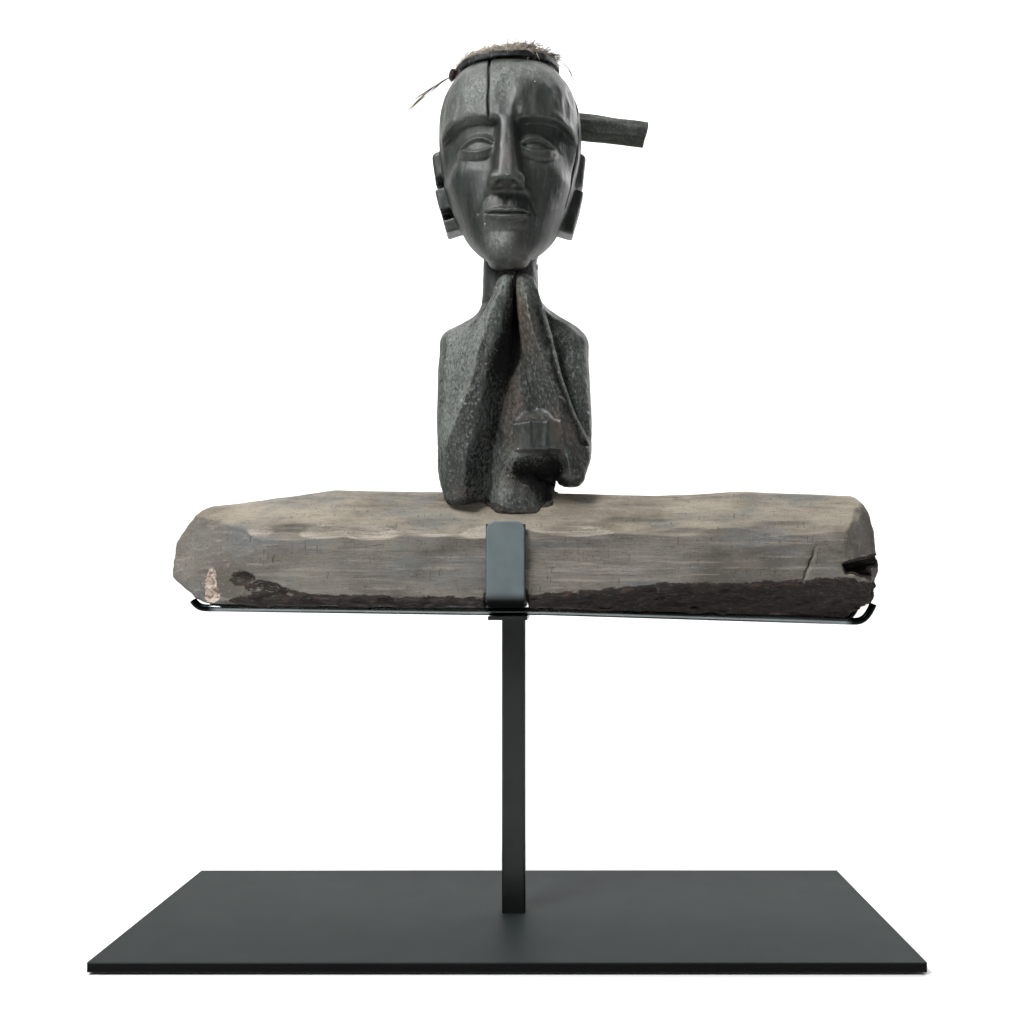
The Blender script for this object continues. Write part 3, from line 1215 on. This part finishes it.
def wig_axes():
    """Columns are the wig's own across, deep and up directions."""
    c, s = math.cos(RIM_ROLL), math.sin(RIM_ROLL)
    e, f = math.cos(RIM_PITCH), math.sin(RIM_PITCH)
    roll = np.array([[c, 0, s], [0, 1, 0], [-s, 0, c]])
    pitch = np.array([[1, 0, 0], [0, e, -f], [0, f, e]])
    return roll @ pitch


WIG_AXES = wig_axes()


def wig_frame(x, y, z):
    """Coordinates round the wig: across, deep and up, level with its tilted band."""
    offset = x - RIM_MIDDLE[0], y - RIM_MIDDLE[1], z - RIM_MIDDLE[2]
    return [sum(part * a for part, a in zip(offset, WIG_AXES[:, n])) for n in range(3)]


def from_wig(a, b, h):
    """The reverse of wig_frame."""
    return RIM_MIDDLE + np.stack([a, b, h], -1) @ WIG_AXES.T


def rim_band(x, y, z):
    a, b, h = wig_frame(x, y, z)
    out = (np.hypot(a / RIM_RADII[0], b / RIM_RADII[1]) - 1) * RIM_RADII.mean()
    return rounded(np.abs(out + 0.12 * h) - RIM_BAND / 2, np.abs(h) - RIM_HEIGHT / 2, 0.7)


def sculpt_rim():
    rng = np.random.default_rng(17)
    carving = Carving(RIM_LOW - 2, RIM_HIGH + 2, grid_step(0.5))
    carving.join(Shape(rim_band, RIM_LOW, RIM_HIGH))
    roughen(carving, rng, (9, 9, 9), 0.55)
    roughen(carving, rng, (2.2, 2.2, 2.2), 0.28)
    made = carved_object("wig_band", carving, 4)[0]
    black = gum("rim_gum", (0.004, 0.0055, 0.0055), (0.014, 0.017, 0.0165), (0.045, 0.053, 0.050), 0.42)
    finish_piece(made, "gum", black, "wig_rim")


MAT_SUNK, MAT_RISE = 1.5, 9.5  # how far the mat's edge lies below the band's top, and its crown above that


def mat_height(share):
    """Height of the fibre mat over the band's middle, by its share of the band's radius."""
    return RIM_HEIGHT / 2 - MAT_SUNK + MAT_RISE * np.sqrt(np.clip(1 - share**3, 0, 1))


def tubes(paths, radii, sides=3):
    """Points, faces and strand numbers of thin tapering tubes along paths (strands, points, 3)."""
    count, steps, _ = paths.shape
    run = np.gradient(paths, axis=1)
    run /= np.linalg.norm(run, axis=2, keepdims=True)
    helper = np.where(np.abs(run[..., 2:]) > 0.8, [1.0, 0, 0], [0, 0, 1.0])
    u = np.cross(run, helper)
    u /= np.linalg.norm(u, axis=2, keepdims=True)
    v = np.cross(run, u)
    taper = np.interp(np.linspace(0, 1, steps), [0, 0.5, 1], [1, 0.9, 0.35])[None, :, None]
    angles = 2 * np.pi * np.arange(sides) / sides
    ring = [u * math.cos(a) + v * math.sin(a) for a in angles]
    points = np.stack([paths + r * taper * radii[:, None, None] for r in ring], 2)
    index = np.arange(count * steps * sides).reshape(count, steps, sides)
    before, after = index[:, :-1], index[:, 1:]
    faces = []
    for a, b in zip(range(sides), [*range(1, sides), 0]):
        quads = np.stack([before[..., a], before[..., b], after[..., b], after[..., a]], -1)
        faces += quads.reshape(-1, 4).tolist()
    faces += index[:, 0, ::-1].tolist() + index[:, -1, :].tolist()
    strand = np.repeat(np.arange(count), steps * sides)
    return points.reshape(-1, 3), faces, strand


def strand_object(name, paths, radii, shades):
    points, faces, strand = tubes(np.asarray(paths, float), np.asarray(radii, float))
    made = mesh_object(name, points, faces)
    write_values(made, shade=np.asarray(shades)[strand])
    return made


def sculpt_fibre():
    """The matted fibre: a lumpy mat, and loose fibres lying over it."""
    rng = np.random.default_rng(29)
    low, high = corners("wig_fibre")
    carving = Carving(low - 3, high + 3, grid_step(0.7))
    a, b, h = wig_frame(*carving.axes())
    share = np.hypot(a / (RIM_RADII[0] - 0.9), b / (RIM_RADII[1] - 0.9))
    top = 0.75 * (h - mat_height(share))
    edge = (share - 1) * RIM_RADII.mean()
    carving.field = np.maximum(np.maximum(top, edge), 1.6 - RIM_HEIGHT / 2 - h).astype(np.float32)
    roughen(carving, rng, (6, 6, 5), 1.3)
    roughen(carving, rng, (2.2, 2.2, 2.2), 1.0)
    paint = strands("bast_fibre", (0.055, 0.042, 0.032), (0.50, 0.44, 0.35), 0.9)
    mat, points, proud, normal = carved_object("fibre_mat", carving, 4)
    write_values(mat, shade=0.40 + 0.6 * np.clip(proud, -1, 1))
    finish_piece(mat, "fibre", paint, "wig_fibre")
    outer = np.flatnonzero(normal[:, 2] > -0.1)
    wanted = 2600
    picked = rng.choice(outer, wanted)
    start, out = points[picked], normal[picked]
    heading = np.cross(out, rng.normal(size=(wanted, 3)))
    heading /= np.linalg.norm(heading, axis=1, keepdims=True)
    turn = np.cross(out, heading)
    length = rng.uniform(3.5, 10, wanted)[:, None, None]
    t = np.linspace(0, 1, 6)[None, :, None]
    rise = rng.uniform(0.02, 0.28, wanted)[:, None, None]
    bend = rng.normal(0, 0.35, wanted)[:, None, None]
    curve = heading[:, None] * t + turn[:, None] * bend * t**2
    lift = rise * np.sin(np.pi * t * 0.8) - 0.12 * t**2
    paths = start[:, None] + length * (curve + out[:, None] * lift)
    shades = np.clip(rng.normal(0.62, 0.24, wanted), 0, 1)
    loose = strand_object("loose_fibres", paths, rng.uniform(0.10, 0.2, wanted), shades)
    finish_piece(loose, "fibre", paint)


def scattered(rng, count, *spreads):
    """Random points. Each spread is the (mean, deviation) of one coordinate."""
    return np.stack([rng.normal(mean, deviation, count) for mean, deviation in spreads], 1)


def grow(rng, start, heading, length, bend):
    """Curved strands: each leaves its start along its heading and bends steadily."""
    steps = 9
    t = np.linspace(0, 1, steps)[None, :, None]
    heading = heading / np.linalg.norm(heading, axis=1, keepdims=True)
    wiggle = rng.normal(0, 0.03, (len(start), steps, 3)).cumsum(1) * t
    return start[:, None] + length[:, None, None] * (heading[:, None] * t + bend[:, None] * t**2 + wiggle)


def sculpt_tuft():
    """Dark wiry hair that stands out of the fibre, above the figure's left temple."""
    rng = np.random.default_rng(31)
    wanted, rim_share = 300, 0.94  # no hair starts past this share of the band's radius
    spread = scattered(rng, wanted, (12, 8), (-16, 9))
    outer = rng.random(wanted) < 0.35
    spread[outer] = scattered(rng, outer.sum(), (29, 4), (-8, 9))
    share = np.hypot(spread[:, 0] / RIM_RADII[0], spread[:, 1] / RIM_RADII[1])
    spread /= np.maximum(1, share / rim_share)[:, None]
    share = np.minimum(share, rim_share)
    start = from_wig(spread[:, 0], spread[:, 1], mat_height(share) - 1)
    level = scattered(rng, wanted, (0.35, 0.5), (-0.15, 0.4))
    heading = np.column_stack([level, rng.uniform(0.5, 1.2, wanted)])
    heading[outer] += [0.9, 0, -0.25]
    bend = scattered(rng, wanted, (0.25, 0.3), (0, 0.25), (-0.35, 0.2))
    length = rng.uniform(4, 13, wanted) * np.where(outer, 0.75, 1)
    paths = grow(rng, start, heading, length, bend)
    ceiling = corners("hair_tuft")[1][2] - 0.2
    paths[..., 2] = np.minimum(paths[..., 2], ceiling)
    shades = rng.uniform(0, 1, wanted) ** 2
    made = strand_object("wiry_hair", paths, rng.uniform(0.15, 0.23, wanted), shades)
    hair = strands("hair", (0.022, 0.016, 0.012), (0.22, 0.16, 0.11), 0.6)
    finish_piece(made, "hair", hair, "hair_tuft")
    return hair


# Dark strands of the lock, as (share of its length, how far it strays to one side).
LOCK_STRANDS = [
    (1.0, 0.0), (0.66, -1.6), (0.64, 0.9), (0.6, 2.2), (0.68, -0.6), (0.56, 1.6), (0.3, 1.2), (0.62, 0.4),
]


def sculpt_lock(hair):
    """The lock at the figure's right temple: dark strands in a loose bundle, and a paler frayed wisp."""
    rng = np.random.default_rng(37)
    knot_low, knot_high = corners("wig_knot")
    root = knot_low + (knot_high - knot_low) * [0, 1 / 2, 1 / 3] + [0.8, 0, 0]
    tip = corners("side_lock")[0] + [0.6, 1.0, 0.6]
    t = np.linspace(0, 1, 14)
    paths, radii, shades = [], [], []
    for reach, side in LOCK_STRANDS:
        along = t * reach
        line = root + (tip - root) * along[:, None]
        line[:, 2] += (5.5 * np.sin(np.pi * along * 0.9) - side * along * 2.2) * min(1, reach + 0.2)
        line[:, 1] += side * 1.1 * along + 0.25 * np.sin(7 * t + side)
        line[:, 0] += 0.35 * np.sin(9 * t + 2 * side)
        paths.append(line)
        radii.append(0.28 if reach > 0.5 else 0.2)
        shades.append(rng.uniform(0, 0.4))
    made = strand_object("side_lock_strands", paths, radii, shades)
    finish_piece(made, "hair", hair, "side_lock")
    wisp = []
    for _ in range(16):
        first, last = rng.uniform(0.34, 0.5), rng.uniform(0.52, 0.62)
        along = first + (last - first) * t
        line = root + (tip - root) * along[:, None]
        line[:, 2] += 5.0 * np.sin(np.pi * along * 0.9) - 9 * (along - 0.34) - rng.uniform(0, 1.2)
        line[:, 1] += rng.normal(0, 0.5) + 0.6 * np.sin(5 * t + rng.uniform(0, 6))
        wisp.append(line)
    count = len(wisp)
    pale = strand_object("side_lock_wisp", wisp, rng.uniform(0.18, 0.32, count), rng.uniform(0.4, 1, count))
    finish_piece(pale, "fibre", strands("wisp", (0.16, 0.11, 0.07), (0.55, 0.45, 0.32), 0.9))


def wound_thread(name, start, end, radius, turns, thread):
    """A thread wound round a core: a helix along a straight line."""
    axis = (end - start) / np.linalg.norm(end - start)
    u = np.cross(axis, [0, 1, 0.2])
    u /= np.linalg.norm(u)
    v = np.cross(axis, u)
    t = np.linspace(0, 1, turns * 10)
    swellings = radius * (0.65 + 0.35 * np.sin(np.pi * t))
    angle = 2 * np.pi * turns * t
    line = start + (end - start) * t[:, None]
    line = line + swellings[:, None] * (np.cos(angle)[:, None] * u + np.sin(angle)[:, None] * v)
    points, faces, _ = tubes(line[None], np.array([thread]), 6)
    made = mesh_object(name, points, faces)
    write_values(made, shade=0.5 + 0.5 * np.sin(37.0 * points[:, 2] + 11 * points[:, 0]))
    return made


def sculpt_ties():
    """The wound knot at one end of the band, and the loose thread at the other."""
    cord = strands("tie_thread", (0.008, 0.005, 0.006), (0.060, 0.024, 0.024), 0.8)
    low, high = corners("wig_knot")
    middle = (low + high) / 2
    top = np.array([middle[0] + 1.2, middle[1], high[2] - 1.2])
    bottom = np.array([middle[0] - 0.6, middle[1], low[2] + 1.2])
    made = wound_thread("wound_knot", top, bottom, 2.1, 8, 0.5)
    core = ellipsoid(middle, (high - low) / 2 * [0.55, 0.55, 0.8])
    carving = Carving(low - 2, high + 2, 0.4)
    carving.join(core)
    roughen(carving, np.random.default_rng(2), (1.6, 1.6, 1.6), 0.4)
    points, quads = carving.skin()
    lump = mesh_object("knot_core", points, quads)
    write_values(lump, shade=np.full(len(points), 0.2))
    finish_piece(made, "cord", cord, "wig_knot")
    finish_piece(lump, "cord", cord)
    low, high = corners("thread_end")
    t = np.linspace(0, 1, 22)
    x = np.interp(t, [0, 0.16, 0.3, 1], [low[0] + 0.8, low[0] + 4.4, low[0] + 6, high[0] - 1.2])
    z = high[2] - 1 - (high[2] - low[2] - 2) * t**0.9
    y = (low[1] + high[1]) / 2 + 0.4 * np.sin(9 * t)
    line = np.stack([x + 0.3 * np.sin(12 * t), y, z], 1)
    fray = line[4:9] + np.array([[0.5, 0.3, 0.1]]) * np.linspace(0, 1, 5)[:, None]
    frays = [fray, fray - [0.4, 0, 0.1], fray + [0, 0.3, 0.3]]
    thick = strand_object("thread_lump", frays, [0.42, 0.36, 0.34], [0.8, 1, 0.6])
    thin = strand_object("loose_thread", [line], [0.38], [0.35])
    finish_piece(thin, "cord", cord, "thread_end")
    finish_piece(thick, "cord", cord)


# ---------------------------------------------------------------- the stand

STRAP_THICKNESS, STRAP_CORNER, STRAP_BEND = 3.0, 5.5, 9.0


def sculpt_strap():
    """The flat bar bent round the beam, its two ends rounded off."""
    low, high = corners("clip_strap")
    middle = (low + high) / 2
    rear_top = corners("strap_felt")[1][2] - 2.0
    half = (high - low) / 2

    def distance(x, y, z):
        reach = half[1] - STRAP_THICKNESS / 2
        below = low[2] + STRAP_THICKNESS / 2 - z
        skin = rounded(np.abs(y - middle[1]) - reach, below, STRAP_BEND - STRAP_THICKNESS / 2)
        top = np.where(y < middle[1], high[2], rear_top)
        sheet = rounded(np.abs(x - middle[0]) - half[0], z - top, STRAP_CORNER)
        return smooth_max(np.abs(skin) - STRAP_THICKNESS / 2, sheet, 0.7)

    carving = Carving(low - 2, high + 2, grid_step(0.5))
    carving.join(Shape(distance, low, high))
    points, quads = carving.skin()
    made = mesh_object("bent_strap", points, quads)
    bend = (2, 0, low[2] + 11, low[2] + 4)
    steel = lacquered("strap_lacquer", (0.085, 0.108, 0.115), 0.46, 0.15, dark=bend)
    finish_piece(made, "strap", steel, "clip_strap")


def turned_up_rail(name, node, steel):
    """A round bar under the beam, its ends turned up, smooth where the CAD bar has flat sides."""
    low, high = corners(node)
    y = (low[1] + high[1]) / 2
    left, right = low[0] + RAIL_RADIUS, high[0] - RAIL_RADIUS
    left_run, left_rise, right_run, right_rise = 10, 5.0, 14, 12.0
    bend = 1 - np.cos(np.linspace(0, np.pi / 2, 9))
    straight = np.linspace(-180, 205, 24)
    x = np.concatenate([left + left_run * bend, straight, right - right_run * bend[::-1]])
    z = RAIL_LEVEL + slope(x)
    z += left_rise * np.clip((left + left_run - x) / left_run, 0, 1) ** 3
    z += right_rise * np.clip((x - right + right_run) / right_run, 0, 1) ** 3
    curve = bpy.data.curves.new(name, "CURVE")
    curve.dimensions = "3D"
    curve.bevel_depth = RAIL_RADIUS * MM
    curve.bevel_resolution = 5
    curve.use_fill_caps = True
    line = curve.splines.new("POLY")
    line.points.add(len(x) - 1)
    for point, px, pz in zip(line.points, x, z):
        point.co = (px * MM, y * MM, pz * MM, 1)
    line.use_smooth = True
    made = bpy.data.objects.new(name, curve)
    bpy.context.scene.collection.objects.link(made)
    finish_piece(made, "black_steel", steel, node)


def dress_stand():
    black = lacquered("black_steel", (0.006, 0.007, 0.007), 0.36, 0.2, shine=0.35)
    bright = lacquered("rail_steel", (0.17, 0.19, 0.19), 0.28, 0.15, metal=1.0, dark=(0, 12, 210, 217))
    edges = (0.002, 0.002, 0.002)
    plate = lacquered("plate_lacquer", (0.014, 0.019, 0.0185), 0.55, 0.04, shine=0.08, edge_colour=edges)
    screw = lacquered("plain_steel", (0.55, 0.55, 0.56), 0.32, 0.06, metal=1.0)
    pads = felt()
    finish = {"base_plate": plate, "post": black, "saddle_plate": black, "base_screw": screw}
    corner_names = ("front_left", "front_right", "rear_left", "rear_right")
    for node in ("strap_felt", *(f"base_pad_{place}" for place in corner_names)):
        finish[node] = pads
    for node, material in finish.items():
        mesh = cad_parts[node].data
        mesh.materials.clear()
        mesh.materials.append(material)
    sculpt_strap()
    turned_up_rail("front_bar", "front_rail", bright)
    turned_up_rail("rear_bar", "rear_rail", bright)


# ---------------------------------------------------------------- camera, light and floor

PHOTO_LENS = 38.5  # on a 36 mm sensor
CAMERA = (0.0296, -0.751, 0.232)
SHIFT = (-0.048, 0.076)  # the view is framed a little left of and above the camera's axis


def make_camera():
    data = bpy.data.cameras.new("camera")
    data.sensor_width = 36
    data.lens = PHOTO_LENS
    data.shift_x, data.shift_y = SHIFT
    made = bpy.data.objects.new("camera", data)
    made.location = CAMERA
    made.rotation_euler = (math.radians(90), 0, 0)
    bpy.context.scene.collection.objects.link(made)
    bpy.context.scene.camera = made


def make_light(name, place, aim, size, power, colour=(1, 1, 1)):
    data = bpy.data.lights.new(name, "AREA")
    data.shape = "RECTANGLE"
    data.size, data.size_y = size
    data.energy = power
    data.color = colour
    made = bpy.data.objects.new(name, data)
    made.location = place
    direction = Vector(aim) - Vector(place)
    made.rotation_euler = direction.to_track_quat("-Z", "Y").to_euler()
    bpy.context.scene.collection.objects.link(made)


def make_floor():
    """A pale floor that curves up into a backdrop behind the object, in metres."""
    near, far, radius, top, half, steps = -4, 1.4, 0.9, 4, 5, 12
    profile = [(near, 0.0), (far, 0.0)]
    for n in range(1, steps + 1):
        angle = math.pi / 2 * n / steps
        profile.append((far + radius * math.sin(angle), radius * (1 - math.cos(angle))))
    profile.append((far + radius, top))
    points = [(x / MM, y / MM, z / MM) for y, z in profile for x in (-half, half)]
    faces = [(2 * n, 2 * n + 1, 2 * n + 3, 2 * n + 2) for n in range(len(profile) - 1)]
    made = mesh_object("floor", points, faces)
    paint = Paint("floor")
    paint.set(Base_Color=(0.86, 0.86, 0.855), Roughness=0.85)
    made.data.materials.append(paint.material)


def make_light_and_floor():
    world = bpy.data.worlds.new("studio")
    world.use_nodes = True
    sky = world.node_tree.nodes["Background"]
    sky.inputs["Color"].default_value = (0.97, 0.985, 1, 1)
    sky.inputs["Strength"].default_value = 0.10
    bpy.context.scene.world = world
    middle = (0, 0, 0.38)
    make_light("key", (-0.75, -0.85, 1.55), middle, (0.55, 0.55), 44)
    make_light("fill", (1.5, -0.9, 0.5), middle, (0.7, 0.9), 2.5, (0.95, 0.98, 1))
    make_light("rim", (0.9, 0.8, 1.1), middle, (0.6, 0.8), 8)
    make_light("top", (0, 0.7, 2.4), (0, 1.7, 0.2), (2.6, 0.8), 40)
    make_light("wall", (0, 1.0, 2.7), (0, 2.4, 2.2), (5, 0.8), 80)
    make_floor()
    bpy.context.scene.view_settings.view_transform = "Standard"


make_camera()
make_light_and_floor()
dress_stand()
sculpt_beam()
sculpt_figure()
sculpt_peg()
sculpt_collar()
sculpt_rim()
sculpt_fibre()
dark_hair = sculpt_tuft()
sculpt_lock(dark_hair)
sculpt_ties()
